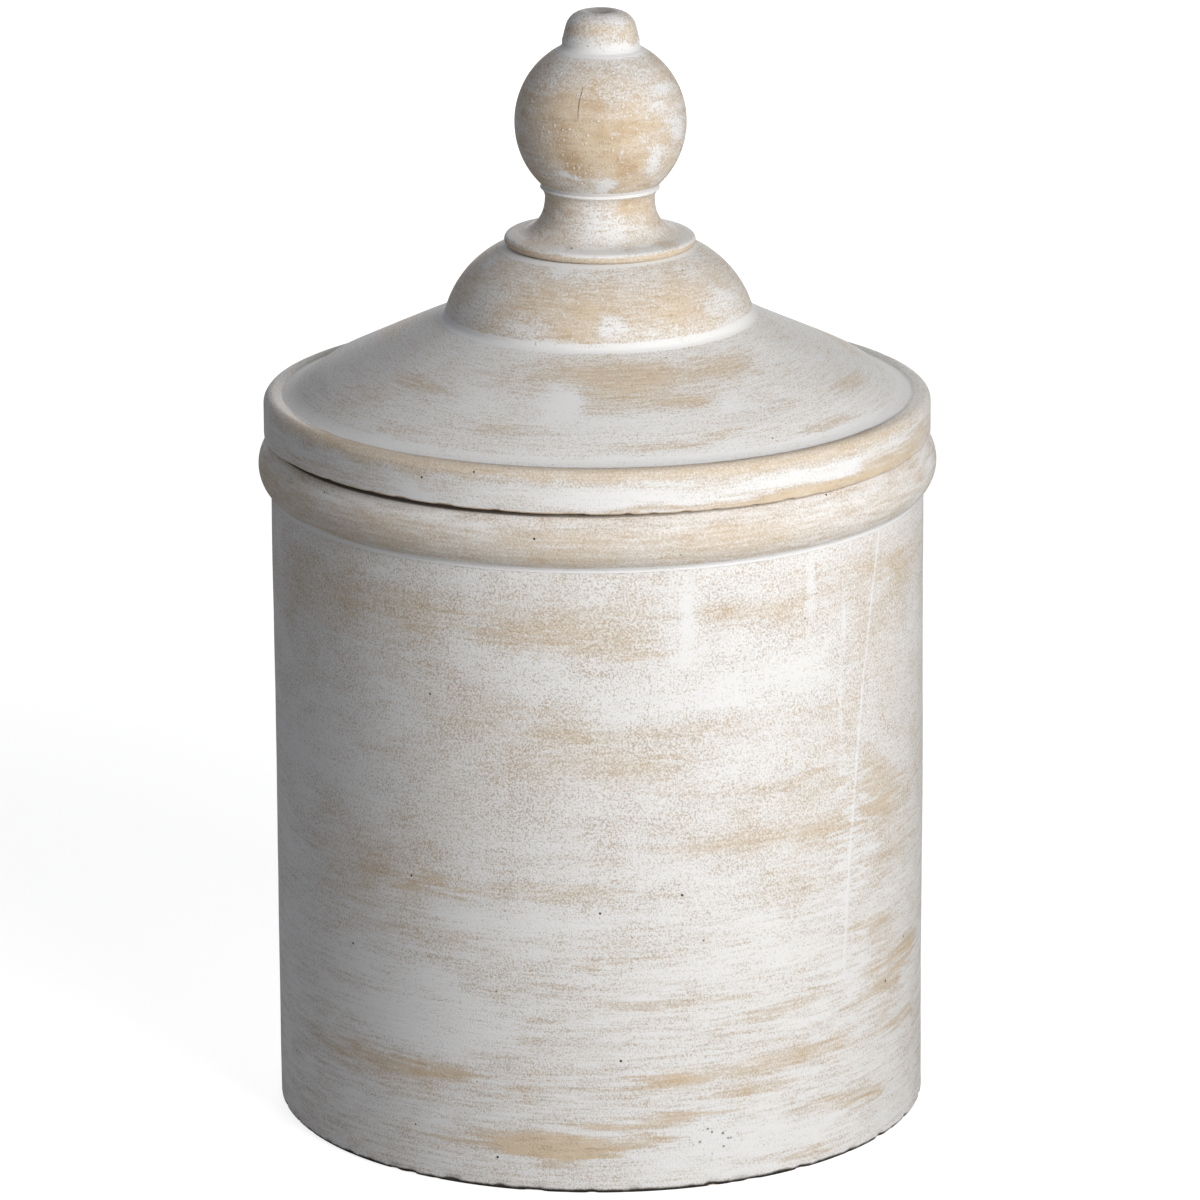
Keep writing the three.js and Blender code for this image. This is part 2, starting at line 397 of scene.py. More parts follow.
class StudioSetup(bpy.types.PropertyGroup):
    """The camera and the lamps."""

    lens: FloatProperty(
        name="Lens", description="Focal length of the camera", default=253.5, unit="CAMERA"
    )
    distance: size_property("Distance", "From the camera to the canister", 2.5)
    camera_rise: angle_property("Camera Rise", "How far the camera looks down", 15.87)
    camera_roll: angle_property("Camera Roll", "Turn of the camera about its view", -0.36)
    key_power: power_property("Key", "Power of the soft key lamp", 10.6)
    key_turn: angle_property("Key Turn", "Where the key stands, to the right of the front", 34.5)
    key_rise: angle_property("Key Rise", "How high the key stands", 22.5)
    back_power: power_property("Back", "Power of the lamp behind", 55.0)
    fill: FloatProperty(
        name="Fill", description="Brightness of the room round the canister", default=0.33, min=0.0
    )


class Outline:
    """The outline of half a section, drawn in the XZ plane by moving one vertex along."""

    def __init__(self, radius, height):
        self.mesh = bmesh.new()
        self.tip = self.mesh.verts.new((radius, 0, height))
        self.start = self.tip
        self.corners = []

    def line(self, radius, height, steps=1):
        """A straight stretch to a point, in equal steps."""
        start = self.tip.co.copy()
        end = Vector((radius, 0, height))
        for step in range(steps):
            self.tip = bmesh.ops.extrude_vert_indiv(self.mesh, verts=[self.tip])["verts"][0]
            self.tip.co = start.lerp(end, (step + 1) / steps)
        return self

    def turn(self, radius, height, degrees, steps):
        """A stretch of a circle about a centre, anticlockwise if the angle is positive."""
        drawn = bmesh.ops.spin(
            self.mesh,
            geom=[self.tip],
            cent=(radius, 0, height),
            axis=(0, -1, 0),
            angle=math.radians(degrees),
            steps=steps,
        )
        self.tip = drawn["geom_last"][0]
        return self

    def bow(self, radius, height, stand_off, steps):
        """A circular arc to a point, standing off the straight way to its right."""
        start = self.tip.co.copy()
        end = Vector((radius, 0, height))
        chord = end - start
        turn = 4 * math.atan(2 * stand_off / chord.length)
        left = Vector((-chord.z, 0, chord.x)).normalized()
        centre = (start + end) / 2 + left * chord.length / 2 / math.tan(turn / 2)
        return self.turn(centre.x, centre.z, math.degrees(turn), steps)

    def corner(self, rounding):
        """Marks the corner drawn last, which is rounded off once the outline is whole."""
        self.corners.append((self.tip, rounding))

    def close(self):
        """Joins the end of the outline to its start."""
        self.mesh.edges.new((self.tip, self.start))

    def revolve(self, sides):
        """Rounds the corners off and turns the outline once round the axis."""
        mesh = self.mesh
        for vertex, rounding in self.corners:
            bmesh.ops.bevel(
                mesh,
                geom=[vertex],
                offset=rounding,
                affect="VERTICES",
                segments=3,
                profile=0.5,
                material=-1,
            )
        wedge = math.tau / WEDGES
        section = mesh.verts[:] + mesh.edges[:]
        bmesh.ops.spin(mesh, geom=section, axis=(0, 0, 1), angle=wedge, steps=sides // WEDGES)
        bmesh.ops.spin(
            mesh,
            geom=mesh.verts[:] + mesh.edges[:] + mesh.faces[:],
            axis=(0, 0, 1),
            angle=math.tau - wedge,
            steps=WEDGES - 1,
            use_duplicate=True,
        )
        bmesh.ops.remove_doubles(mesh, verts=mesh.verts, dist=0.001 * MM)
        bmesh.ops.recalc_face_normals(mesh, faces=mesh.faces)
        return mesh


def azimuth(point):
    """The angle of a point round the axis, to the right of the front."""
    return math.atan2(point.x, -point.y)


def towards(angle, length=1.0):
    """A level vector that points an angle to the right of the front."""
    return Vector((math.sin(angle), -math.cos(angle), 0)) * length


def outwards(point):
    """The level direction from the axis to a point."""
    return Vector((point.x, point.y, 0)).normalized()


def lumps(point, width, height, shift=0.0):
    """Unevenness between -1 and 1 at a point, in lumps of a width and a height in metres."""
    return noise.noise(Vector((point.x / width, point.y / width, point.z / height + shift)))


def ease(value, low, high):
    """0 below low, 1 above high and a soft slope between."""
    share = min(max((value - low) / (high - low), 0.0), 1.0)
    return share * share * (3 - 2 * share)


def place_piece(name, mesh, body, node, materials, is_bare):
    """Turns a mesh into a piece that rides on a body and stands for its node."""
    for face in mesh.faces:
        face.smooth = True
        face.material_index = 1 if is_bare(face) else 0
    data = bpy.data.meshes.new(name)
    mesh.to_mesh(data)
    mesh.free()
    for material in materials:
        data.materials.append(material)
    piece = bpy.data.objects.new(name, data)
    bpy.context.collection.objects.link(piece)
    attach(piece, body)
    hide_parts(node)


def lean_matrix(angle, direction, pivot):
    """Tips what stands upright about a point, towards a level direction."""
    axis = Vector((-direction.y, direction.x, 0))
    tip = Matrix.Rotation(angle, 4, axis)
    return Matrix.Translation(pivot) @ tip @ Matrix.Translation(-pivot)


def lid_lean(lid):
    """How the lid tips: low behind on the right, and high in front on the left."""
    return lean_matrix(lid.lean, towards(math.radians(150)), Vector((0, 0, RIM)))


def finial_lean(lid, finial):
    """How the finial stands on the dome: to the right of its axis, and tipped that way."""
    tip = lean_matrix(finial.lean, Vector((1, 0, 0)), Vector((0, 0, SEAT)))
    return lid_lean(lid) @ Matrix.Translation((lid.stray + finial.offset, 0, 0)) @ tip


class Signal:
    """A value, colour or vector of a recipe, with the sums that are written on it."""

    def __init__(self, recipe, socket):
        self.recipe = recipe
        self.socket = socket

    def other(self, name):
        """Another output of the same node."""
        return Signal(self.recipe, self.socket.node.outputs[name])

    def sum(self, operation, first, second):
        """Any operation of the Math node on two values."""
        return self.recipe.node("ShaderNodeMath", {"operation": operation}, {0: first, 1: second})

    def __add__(self, value):
        return self.sum("ADD", self, value)

    def __sub__(self, value):
        return self.sum("SUBTRACT", self, value)

    def __mul__(self, value):
        return self.sum("MULTIPLY", self, value)

    def __truediv__(self, value):
        return self.sum("DIVIDE", self, value)

    def __pow__(self, value):
        return self.sum("POWER", self, value)

    def __radd__(self, value):
        return self.sum("ADD", value, self)

    def __rsub__(self, value):
        return self.sum("SUBTRACT", value, self)

    def __rmul__(self, value):
        return self.sum("MULTIPLY", value, self)

    def __abs__(self):
        return self.recipe.node("ShaderNodeMath", {"operation": "ABSOLUTE"}, {0: self})


class Recipe:
    """The nodes of a material or a world, which start out empty."""

    def __init__(self, owner):
        owner.use_nodes = True
        self.tree = owner.node_tree
        self.tree.nodes.clear()

    def node(self, kind, settings=None, values=None, output=0):
        """Adds any node: its settings first, then the values and links of its sockets."""
        node = self.tree.nodes.new(kind)
        for name, value in (settings or {}).items():
            setattr(node, name, value)
        for name, value in (values or {}).items():
            if isinstance(value, Signal):
                self.tree.links.new(value.socket, node.inputs[name])
            else:
                node.inputs[name].default_value = value
        return Signal(self, node.outputs[output]) if node.outputs else None

    def vector(self, operation, first, second=None, third=None, output="Vector", **values):
        """Vector Math on up to three vectors, and a scale where the operation takes one."""
        places = {0: first, 1: second, 2: third}
        values.update({at: value for at, value in places.items() if value is not None})
        return self.node("ShaderNodeVectorMath", {"operation": operation}, values, output)

    def rise(self, value, low, high, start=0.0, end=1.0):
        """One number below low, another above high and a soft slope between."""
        return self.node(
            "ShaderNodeMapRange",
            {"interpolation_type": "SMOOTHSTEP"},
            {"Value": value, "From Min": low, "From Max": high, "To Min": start, "To Max": end},
        )

    def band(self, value, low, high, edge):
        """1 between two values and 0 outside them."""
        return self.rise(value, low - edge, low) * (1 - self.rise(value, high, high + edge))

    def blend(self, mask, first, second):
        """The first colour where the mask is 0 and the second where it is 1."""
        settings = {"data_type": "RGBA"}
        return self.node("ShaderNodeMix", settings, {0: mask, 6: first, 7: second}, output=2)


class Finish(Recipe):
    """A material under way, with the places on the turned piece that its patterns follow.

    Places are in mm. The angle is in degrees to the right of the front. What lies along the
    outline is the height less a share of the radius, so that it also grows towards the axis.
    """

    def __init__(self, name, girth, slant=0.0, stance=Matrix.Identity(4)):
        self.material = bpy.data.materials.new(name)
        super().__init__(self.material)
        upright = stance.inverted()
        here = self.node(
            "ShaderNodeMapping",
            {"vector_type": "POINT"},
            {
                "Vector": self.node("ShaderNodeTexCoord", output="Object"),
                "Location": upright.translation,
                "Rotation": upright.to_euler(),
            },
        )
        self.place = self.vector("SCALE", here, Scale=1 / MM)
        level = self.vector("MULTIPLY", self.place, (1, 1, 0))
        self.radius = self.vector("LENGTH", level, output="Value")
        x = self.node("ShaderNodeSeparateXYZ", None, {"Vector": self.place})
        self.height = x.other("Z")
        self.angle = x.sum("ARCTAN2", x, 0 - x.other("Y")) * math.degrees(1)
        self.along = self.height - slant * self.radius
        outwards = self.vector("SCALE", self.vector("NORMALIZE", level), Scale=girth)
        climb = self.node("ShaderNodeCombineXYZ", None, {"Z": self.along})
        self.turned = self.vector("ADD", outwards, climb)
        self.wall = self.node("ShaderNodeCombineXYZ", None, {"X": self.angle, "Y": self.along})

    def unevenness(self, size, squeeze, shift, output, **values):
        """A noise in lumps of a size in mm, squeezed along the outline into streaks."""
        squeezed = (1 / size, 1 / size, squeeze / size)
        values["Vector"] = self.vector("MULTIPLY_ADD", self.turned, squeezed, (shift, 0, 0))
        values["Scale"] = 1.0
        return self.node("ShaderNodeTexNoise", None, values, output)

    def grains(self, size, shift=0.0):
        """Fine unevenness about 0, alike in every direction."""
        grown = (1 / size, 1 / size, 1 / size)
        place = self.vector("MULTIPLY_ADD", self.place, grown, (shift, 0, 0))
        values = {"Vector": place, "Scale": 1.0, "Detail": 2.0, "Roughness": 0.75}
        return (self.node("ShaderNodeTexNoise", None, values) - 0.5) * 4.4

    def clouds(self, size, squeeze=1.0, detail=2.0, roughness=0.5, shift=0.0):
        """Unevenness about 0, mostly between -1 and 1."""
        values = {"Detail": detail, "Roughness": roughness}
        return (self.unevenness(size, squeeze, shift, "Fac", **values) - 0.5) * 4

    def marks(self, places, stray=(9, 1.4), size=22.0, squeeze=12.0, shift=0.0):
        """The sum of the shares of some places, whose edges fray along the brush's way."""
        frayed = self.unevenness(size, squeeze, shift, "Color", Detail=2.0)
        reach = (4 * stray[0], 4 * stray[1], 0)
        offset = self.vector("SUBTRACT", frayed, (0.5, 0.5, 0.5))
        place = self.vector("MULTIPLY_ADD", offset, reach, self.wall)
        total = 0.0
        for angle, along, wide, high, share in places:
            shrink = (1 / wide, 1 / high, 0)
            offset = self.vector("MULTIPLY_ADD", place, shrink, (-angle / wide, -along / high, 0))
            away = self.vector("LENGTH", offset, output="Value")
            total = total + self.rise(away, 0.2, 1.5, share, 0)
        return total

    def dots(self, spacing, size, share, shift=0.0):
        """Round dots up to a radius in mm, on a share of the places that have room for one."""
        grown = (1 / spacing, 1 / spacing, 1 / spacing)
        place = self.vector("MULTIPLY_ADD", self.place, grown, (shift, 0, 0))
        cells = self.node("ShaderNodeTexVoronoi", None, {"Vector": place, "Scale": 1.0})
        chosen = self.node("ShaderNodeSeparateXYZ", None, {"Vector": cells.other("Color")})
        near = 1 - self.rise(cells * spacing, 0.5 * size, size)
        return near * self.rise(chosen, 1 - share, 1.02 - share)

    def surface(self, colour, roughness, relief):
        """Closes the material: its colour, roughness and relief, the last as a height in mm."""
        strength = bpy.context.scene.canister_finish.relief
        bump = self.node(
            "ShaderNodeBump", None, {"Strength": 1.0, "Distance": MM, "Height": relief * strength}
        )
        looks = {"Base Color": colour, "Roughness": roughness, "Normal": bump}
        looks["Specular IOR Level"] = 0.05
        shader = self.node("ShaderNodeBsdfPrincipled", None, looks)
        self.node("ShaderNodeOutputMaterial", None, {"Surface": shader})
        return self.material


def opaque(colour):
    """A colour with the alpha that a socket asks for."""
    return (*colour, 1.0)


def grey(level):
    """A grey from 0, black, to 1, white."""
    return opaque((level, level, level))


def limewash(finish, veil, grain, relief, pits, grime_and_painted_shade, stained=0.0):
    """White wash over clay. The veil is how well the wash covers, and the grain breaks it up."""
    look = bpy.context.scene.canister_finish
    tint = finish.rise(veil, 0.08, 0.74)
    cover = finish.rise(veil + grain, 0.22, 0.84)
    under = finish.blend(tint, opaque(look.clay), opaque(look.gap))
    mottle = finish.clouds(6, 1.4, detail=5, roughness=0.65, shift=5)
    mottle = finish.rise(mottle, -0.2, 0.9, 0, 0.6)
    under = finish.blend(mottle + stained, under, opaque(look.deep_clay))
    specks = finish.rise(grain, -0.12, -0.42) * (1 - 0.6 * tint)
    under = finish.blend(0.5 * specks, under, opaque(look.speck))
    over = finish.blend(tint, opaque(look.thin_wash), opaque(look.wash))
    colour = finish.blend(cover, under, over)
    # Painted shade: this mask blends in the near-black colour where shade falls in gaps, recesses
    # and at the foot; the pits below are real holes
    colour = finish.blend(grime_and_painted_shade, colour, opaque(look.grime_and_painted_shade))
    colour = finish.blend(pits, colour, opaque(look.grime_and_painted_shade))
    return finish.surface(colour, 0.64 + 0.18 * cover, relief - 0.5 * pits)


def bare_clay(stance=Matrix.Identity(4)):
    """Unwashed clay, for the insides and undersides, with the rings of throwing and some dust."""
    look = bpy.context.scene.canister_finish
    finish = Finish("Bare clay", girth=60, stance=stance)
    cloud = finish.clouds(30, 2.0, detail=4)
    rings = finish.clouds(60, 16, detail=2)
    grit = finish.clouds(1.4, detail=1)
    dusty = finish.rise(cloud + 0.4 * rings, 0.1, 0.9) * 0.6
    colour = finish.blend(dusty, opaque(look.clay), opaque(look.thin_wash))
    colour = finish.blend(finish.rise(grit, 0.7, 1.1) * 0.3, colour, opaque(look.speck))
    return finish.surface(colour, 0.85 + 0.05 * dusty, 0.08 * rings + 0.03 * grit)


def jar_limewash():
    """The jar: brushed round the wall, stippled above and streaked below, with a beige bead."""
    finish = Finish("Jar limewash", girth=96)
    height = finish.height
    bead_foot = 187.0
    low = 1 - finish.rise(height, 45, 125)
    on_bead = finish.rise(height, bead_foot + 0.6, bead_foot + 1.8)
    blotches = finish.clouds(34, 2.4, detail=3)
    bristles = finish.clouds(13, 12, detail=3, roughness=0.6)
    stipple = finish.grains(0.57)
    dabbed = finish.rise(finish.clouds(15, 1.5, shift=3), -0.5, 0.5)
    worn = finish.marks(JAR_WORN)
    soft = finish.marks(JAR_SOFT, stray=(12, 5), size=30, squeeze=2, shift=6)
    thick = finish.marks(JAR_THICK, shift=9)
    runs = finish.marks(JAR_RUNS, stray=(0.4, 1), size=9, squeeze=1)
    trickle = 47 + 11 * (height / bead_foot) ** 2.2
    thread = 1 - finish.rise(abs(finish.angle - trickle), 0.1, 0.6)
    thread = thread * finish.band(height, 60, bead_foot - 3, 8)
    pooled = finish.band(height, bead_foot, bead_foot + 1.3, 0.3)
    crest = finish.band(height, 190.5, 198.5, 2.5)
    bare_side = finish.rise(finish.angle, 18, 48)
    veil = (
        0.69
        - (0.08 - 0.04 * low) * dabbed
        + 0.1 * blotches
        + (0.04 + 0.04 * low) * bristles
        - (0.44 + 0.18 * low) * worn
        - soft
        + thick
        + 0.7 * runs
        + 0.3 * thread
        - (0.08 + 0.12 * crest) * (1 - 0.5 * bare_side) * on_bead
        + 0.5 * pooled
    )
    grain = (0.5 + 0.2 * dabbed) * (1 - 0.35 * low) * (1 - 0.4 * on_bead) * stipple
    grain = grain + (0.06 + 0.14 * low + 0.2 * worn + 0.16 * on_bead) * bristles
    relief = (0.03 + 0.02 * dabbed) * stipple + 0.02 * bristles + 0.12 * (pooled + thread)
    pinholes = finish.dots(6, 0.45, 0.12) * (1 - pooled)
    flaked = finish.marks(JAR_FLAKED, stray=(3, 1), size=7, squeeze=1, shift=5)
    flakes = finish.dots(1.5, 0.5, 0.8, shift=6) * flaked
    pits = pinholes.sum("MAXIMUM", pinholes, 0.6 * flakes)
    # Painted shade: near black over the chamfer's bare clay at the foot, where it lies in shadow,
    # and a dark band on the rim's seat under the lid's slit, strongest on the front left, where the
    # shade falls
    edge = finish.clouds(5, detail=2, shift=7)
    foot = 1 - finish.rise(height + 0.5 * edge, 0.9, 1.9)
    shaded = 0.2 + 0.7 * finish.band(finish.angle, -100, -25, 50)
    painted_gap_shade = finish.rise(height, 203.1, 203.5) * shaded
    return limewash(finish, veil + 0.3 * flaked, grain, relief, pits, foot + painted_gap_shade)


def lid_limewash(stance):
    """The lid: pooled white in its creases, and worn to clay on the roll and the dome."""
    finish = Finish("Lid limewash", girth=62, slant=1.0, stance=stance)
    along = finish.along
    edge = finish.clouds(6, detail=2, shift=7)
    on_dome = finish.band(along, 195, 230, 2)
    on_roll = finish.rise(along + 1.4 * edge, 113.2, 117.6)
    in_front = 1 - 0.75 * finish.rise(abs(finish.angle + 6 * edge), 54, 80)
    on_roll = on_roll * (1 - finish.rise(along + 0.5 * edge, 123.1, 123.7)) * in_front
    gutter = finish.band(along + 0.4 * edge, 124.1, 130, 0.6)
    lip = finish.band(along + 0.4 * edge, 123.4, 123.8, 0.3) * in_front
    blotches = finish.clouds(24, 1.6, detail=4)
    bristles = finish.clouds(8, 9, detail=4, roughness=0.65)
    stipple = finish.grains(0.56)
    worn = finish.marks(LID_WORN, stray=(6, 1.6), size=12, squeeze=5)
    thick = finish.marks(LID_THICK, stray=(3, 2), size=9, squeeze=2, shift=9)
    pooled = finish.band(along, 192.4, 195.4, 1.2) + finish.rise(along, 229.5, 232)
    veil = (
        0.69
        + (0.1 + 0.06 * on_dome) * blotches
        + 0.05 * bristles
        - (0.6 - 0.3 * on_dome) * worn
        + 0.7 * thick
        - (0.36 + 0.1 * blotches) * on_roll
        - 0.16 * on_dome
        + 0.2 * gutter
        + 0.5 * pooled
    )
    beads = finish.dots(2.4, 0.5, 0.4, shift=4) * on_dome
    on_side = 1 - finish.rise(along, 113, 116)
    grain = (0.48 - 0.14 * on_side) * stipple + (0.18 + 0.25 * worn) * bristles + beads
    relief = 0.03 * stipple + 0.016 * bristles + 0.12 * (pooled + beads)
    pinholes = finish.dots(5, 0.4, 0.06) * (1 - pooled)
    # Painted shade: near black on the brim's underside next to the rim, for the dark slit over the
    # jar, and a faint dark line on the step between the roll and the gutter
    grime_and_painted_shade = 1 - finish.rise(finish.height, 204.1, 204.7)
    grime_and_painted_shade = grime_and_painted_shade * (1 - finish.rise(finish.radius, 97.0, 97.6))
    grime_and_painted_shade = grime_and_painted_shade.sum("MAXIMUM", grime_and_painted_shade, 0.35 * lip)
    return limewash(finish, veil, grain, relief, pinholes, grime_and_painted_shade)


def finial_limewash(stance):
    """The finial: a ball rubbed back to clay, with white smears, dots and one hairline crack."""
    finish = Finish("Finial limewash", girth=25, stance=stance)
    height = finish.height
    on_ball = finish.band(height, 279.5, 317, 1)
    on_collar = finish.band(height, 260.2, 262, 0.5)
    on_cove = finish.band(height, 264, 276.5, 1)
    blotches = finish.clouds(16, 1.3, detail=4)
    bristles = finish.clouds(9, 6, detail=4, roughness=0.65)
    stipple = finish.grains(0.58)
    worn = finish.marks(FINIAL_WORN, stray=(8, 1), size=8, squeeze=2)
    stained = finish.marks(FINIAL_STAINED, stray=(10, 2.5), size=7, squeeze=1, shift=3)
    thick = finish.marks(FINIAL_THICK, stray=(4, 1), size=6, squeeze=1, shift=9)
    pooled = finish.band(height, 277.4, 278.6, 0.5) + finish.band(height, 318.3, 319.3, 0.6)
    veil = (
        0.66
        + 0.16 * blotches
        + 0.06 * bristles
        - 0.42 * worn
        - 0.1 * stained
        + 0.7 * thick
        - 0.2 * on_ball
        - (0.36 + 0.2 * blotches) * on_collar
        - 0.18 * on_cove
        + 0.5 * pooled
    )
    beads = finish.dots(1.8, 0.55, 0.5, shift=4) * finish.rise(blotches, -0.4, 0.4, 0, 1.2)
    beads = (beads + 0.8 * finish.dots(1.3, 0.35, 0.4, shift=8)) * on_ball
    grain = 0.5 * stipple + (0.2 + 0.2 * worn) * bristles + beads
    relief = 0.03 * stipple + 0.014 * bristles + 0.14 * (pooled + beads)
    pinholes = finish.dots(4, 0.4, 0.1) * (1 - pooled)
    wander = finish.clouds(4, detail=2, shift=11)
    crack = 1 - finish.rise(abs(finish.angle + 15.5 + 1.2 * wander), 0.1, 0.5)
    crack = crack * finish.band(height, 303, 310, 1.5)
    pits = pinholes.sum("MAXIMUM", pinholes, 0.5 * crack)
    # Painted shade: a light darkening in the hollow of the button's dimple
    dimple = finish.rise(height, 328, 328.8) * (1 - finish.rise(finish.radius, 2, 6))
    return limewash(finish, veil, grain, relief, pits, 0.35 * dimple, stained)


def chip(point, size, shift):
    """How deep an edge is chipped at a point, from 0 to 1, in nicks of a size in metres."""
    nick = noise.noise(Vector((point.x / size + shift, point.y / size, point.z / size)))
    return ease(nick, 0.12, 0.5)


class CANISTER_OT_make_jar(bpy.types.Operator):
    """Make the jar with its bead, its worn foot and its limewash"""

    bl_idname = "canister.make_jar"
    bl_label = "Make Jar"

    def execute(self, context):
        jar = context.scene.canister_jar
        mouth = jar.radius - jar.wall
        lip = 1.5 * MM
        inner_corner = 10 * MM
        chamfer = 1.3 * MM
        ring = jar.radius - jar.foot_ring
        round_radius = jar.radius + jar.bead_proud - jar.bead
        shoulder = math.radians(61)
        round_level = RIM - jar.bead * math.sin(shoulder)
        tuck = math.radians(47)
        tuck_radius = round_radius + jar.bead * math.cos(tuck)
        tuck_level = round_level - jar.bead * math.sin(tuck)

        # The recess, the foot ring and its chamfer
        outline = Outline(0, jar.recess)
        outline.line(ring - 3 * MM, jar.recess, 3).corner(0.5 * MM)
        outline.line(ring, 0).corner(0.5 * MM)
        outline.line(jar.radius - 2 * MM, 0, 5)
        outline.line(jar.radius - chamfer, 0).corner(0.3 * MM)
        outline.line(jar.radius, chamfer, 3).corner(0.5 * MM)

        # The wall, the bead and the rim
        outline.line(jar.radius, 6 * MM, 8)
        outline.line(jar.radius, tuck_level - 1.4 * MM, 44).corner(0.4 * MM)
        outline.bow(tuck_radius, tuck_level, -0.18 * MM, 4)
        outline.turn(round_radius, round_level, math.degrees(tuck + shoulder), 26).corner(0.5 * MM)
        outline.line(mouth + lip, RIM, 3)
        outline.turn(mouth + lip, RIM - lip, 90, 5)

        # The inside
        outline.line(mouth, jar.floor + inner_corner, 16)
        outline.turn(mouth - inner_corner, jar.floor + inner_corner, -90, 8)
        outline.line(0, jar.floor, 8)

        mesh = outline.revolve(JAR_SIDES)
        for vertex in mesh.verts:
            place = vertex.co
            if math.hypot(place.x, place.y) < mouth + 0.5 * MM:
                continue
            uneven = lumps(place, 0.09, 0.07) + 0.3 * lumps(place, 0.022, 0.012, 9)
            swell = jar.wobble * uneven * ease(place.z, 0, 10 * MM)
            by_foot = 1 - ease(place.z, 0.8 * MM, 3.2 * MM)
            vertex.co += outwards(place) * (swell - jar.chips * chip(place, 0.005, 4) * by_foot)
        place_piece(
            "jar_washed",
            mesh,
            "jar",
            "jar_body",
            (jar_limewash(), bare_clay()),
            lambda face: face.calc_center_median().xy.length < jar.radius - 1.5 * MM,
        )
        return {"FINISHED"}


class CANISTER_OT_make_lid(bpy.types.Operator):
    """Make the lid, tipped on the rim as it lies, with its worn roll and its limewash"""

    bl_idname = "canister.make_lid"
    bl_label = "Make Lid"

    def execute(self, context):
        lid = context.scene.canister_lid
        jar = context.scene.canister_jar
        flange = jar.radius - jar.wall - lid.play
        flange_inside = flange - lid.flange_wall
        flange_foot = RIM - lid.flange_depth
        toe = 2 * MM
        brim_top = RIM + lid.brim_height
        roll_centre = BRIM_RADIUS - lid.roll
        cone_level = brim_top + 5.9 * MM
        cone_rise = 16.2 * MM
        dome_foot = cone_level + cone_rise
        slope = cone_rise / (lid.cone_foot - lid.dome)
        drop = lid.shell * math.hypot(1, slope)
        dome_inside = lid.dome - lid.shell

        # The flange, round its foot and up to the rim
        outline = Outline(flange_inside, flange_foot + toe)
        outline.turn(flange_inside + toe, flange_foot + toe, 90, 4)
        outline.line(flange - toe, flange_foot)
        outline.turn(flange - toe, flange_foot + toe, 90, 4)
        outline.line(flange, RIM, 5).corner(0.8 * MM)

        # The brim and the roll on it
        outline.line(BRIM_RADIUS - lid.arris, RIM, 5)
        outline.turn(BRIM_RADIUS - lid.arris, RIM + lid.arris, 90, 6)
        outline.line(BRIM_RADIUS, brim_top - lid.roll, 6)
        outline.turn(roll_centre, brim_top - lid.roll, 100, 12)

        # The gutter behind the roll, the cone and the dome
        outline.line(roll_centre - 1.7 * MM, brim_top - 0.2 * MM).corner(0.1 * MM)
        outline.line(roll_centre - 2.4 * MM, brim_top - 0.45 * MM, 2)
        outline.bow(lid.cone_foot + 8 * MM, brim_top + 1.45 * MM, -0.22 * MM, 8)
        outline.line(lid.cone_foot, cone_level, 8).corner(2 * MM)
        outline.bow(lid.dome, dome_foot, 0.1 * MM, 28).corner(0.9 * MM)
        outline.bow(lid.crown, SEAT, 3.5 * MM, 22).corner(0.5 * MM)

        # The socket, and back under the dome and the cone
        outline.line(SOCKET_RADIUS, SEAT, 4).corner(0.4 * MM)
        outline.line(SOCKET_RADIUS, SEAT - SOCKET_DEPTH, 2).corner(0.4 * MM)
        outline.line(lid.crown - 3 * MM, SEAT - SOCKET_DEPTH, 2)
        outline.bow(dome_inside, dome_foot + lid.shell * slope - drop, -3.5 * MM, 8)
        inner_level = dome_foot + (lid.dome - flange_inside) * slope - drop
        outline.line(flange_inside, inner_level, 8).corner(1.5 * MM)
        outline.close()

        mesh = outline.revolve(LID_SIDES)
        stance = lid_lean(lid)
        for vertex in mesh.verts:
            place = vertex.co
            radius = math.hypot(place.x, place.y)
            if radius > flange + 0.5 * MM:
                place.z += self.slit(place, stance, lid)
            uneven = lumps(place, 0.07, 0.05, 3) + 0.5 * lumps(place, 0.016, 0.012, 9)
            free = ease(place.z, RIM + 2 * MM, RIM + 12 * MM)
            free *= ease(radius, lid.crown, lid.crown + 6 * MM)
            place.z += 0.15 * MM * uneven * free
            behind = ease(place.y, -60 * MM, 60 * MM)
            above = ease(place.z, RIM + 2 * MM, RIM + 8 * MM)
            on_brim = ease(radius, lid.cone_foot, lid.cone_foot + 10 * MM)
            place.z -= lid.sag * behind * above * on_brim
            place.x += lid.stray * (1 - ease(radius, lid.dome, lid.dome + 12 * MM))
        bmesh.ops.transform(mesh, matrix=stance, verts=mesh.verts)
        mesh.normal_update()

        def is_bare(face):
            centre = face.calc_center_median()
            inwards = face.normal.xy.dot(centre.xy) < 0
            return centre.z < RIM or face.normal.z < -0.3 or (inwards and face.normal.z < 0.3)

        place_piece(
            "lid_washed",
            mesh,
            "lid",
            "lid",
            (lid_limewash(stance), bare_clay(stance)),
            is_bare,
        )
        return {"FINISHED"}

    def slit(self, place, stance, lid):
        """How far the brim's lower edge rises at a place, for an uneven slit over the rim."""
        angle = azimuth(place)
        width = ease(angle, math.radians(-80), math.radians(-60))
        width -= ease(angle, math.radians(-55), math.radians(50))
        wanted = 0.1 * MM + lid.gap * width
        tipped = (stance @ Vector((place.x, place.y, RIM))).z - RIM
        nicks = 0.3 * MM * chip(place, 0.0045, 2) - 0.12 * MM * lumps(place, 0.012, 0.012)
        return (wanted - tipped + nicks) * (1 - ease(place.z, RIM + 1.2 * MM, RIM + 8 * MM))


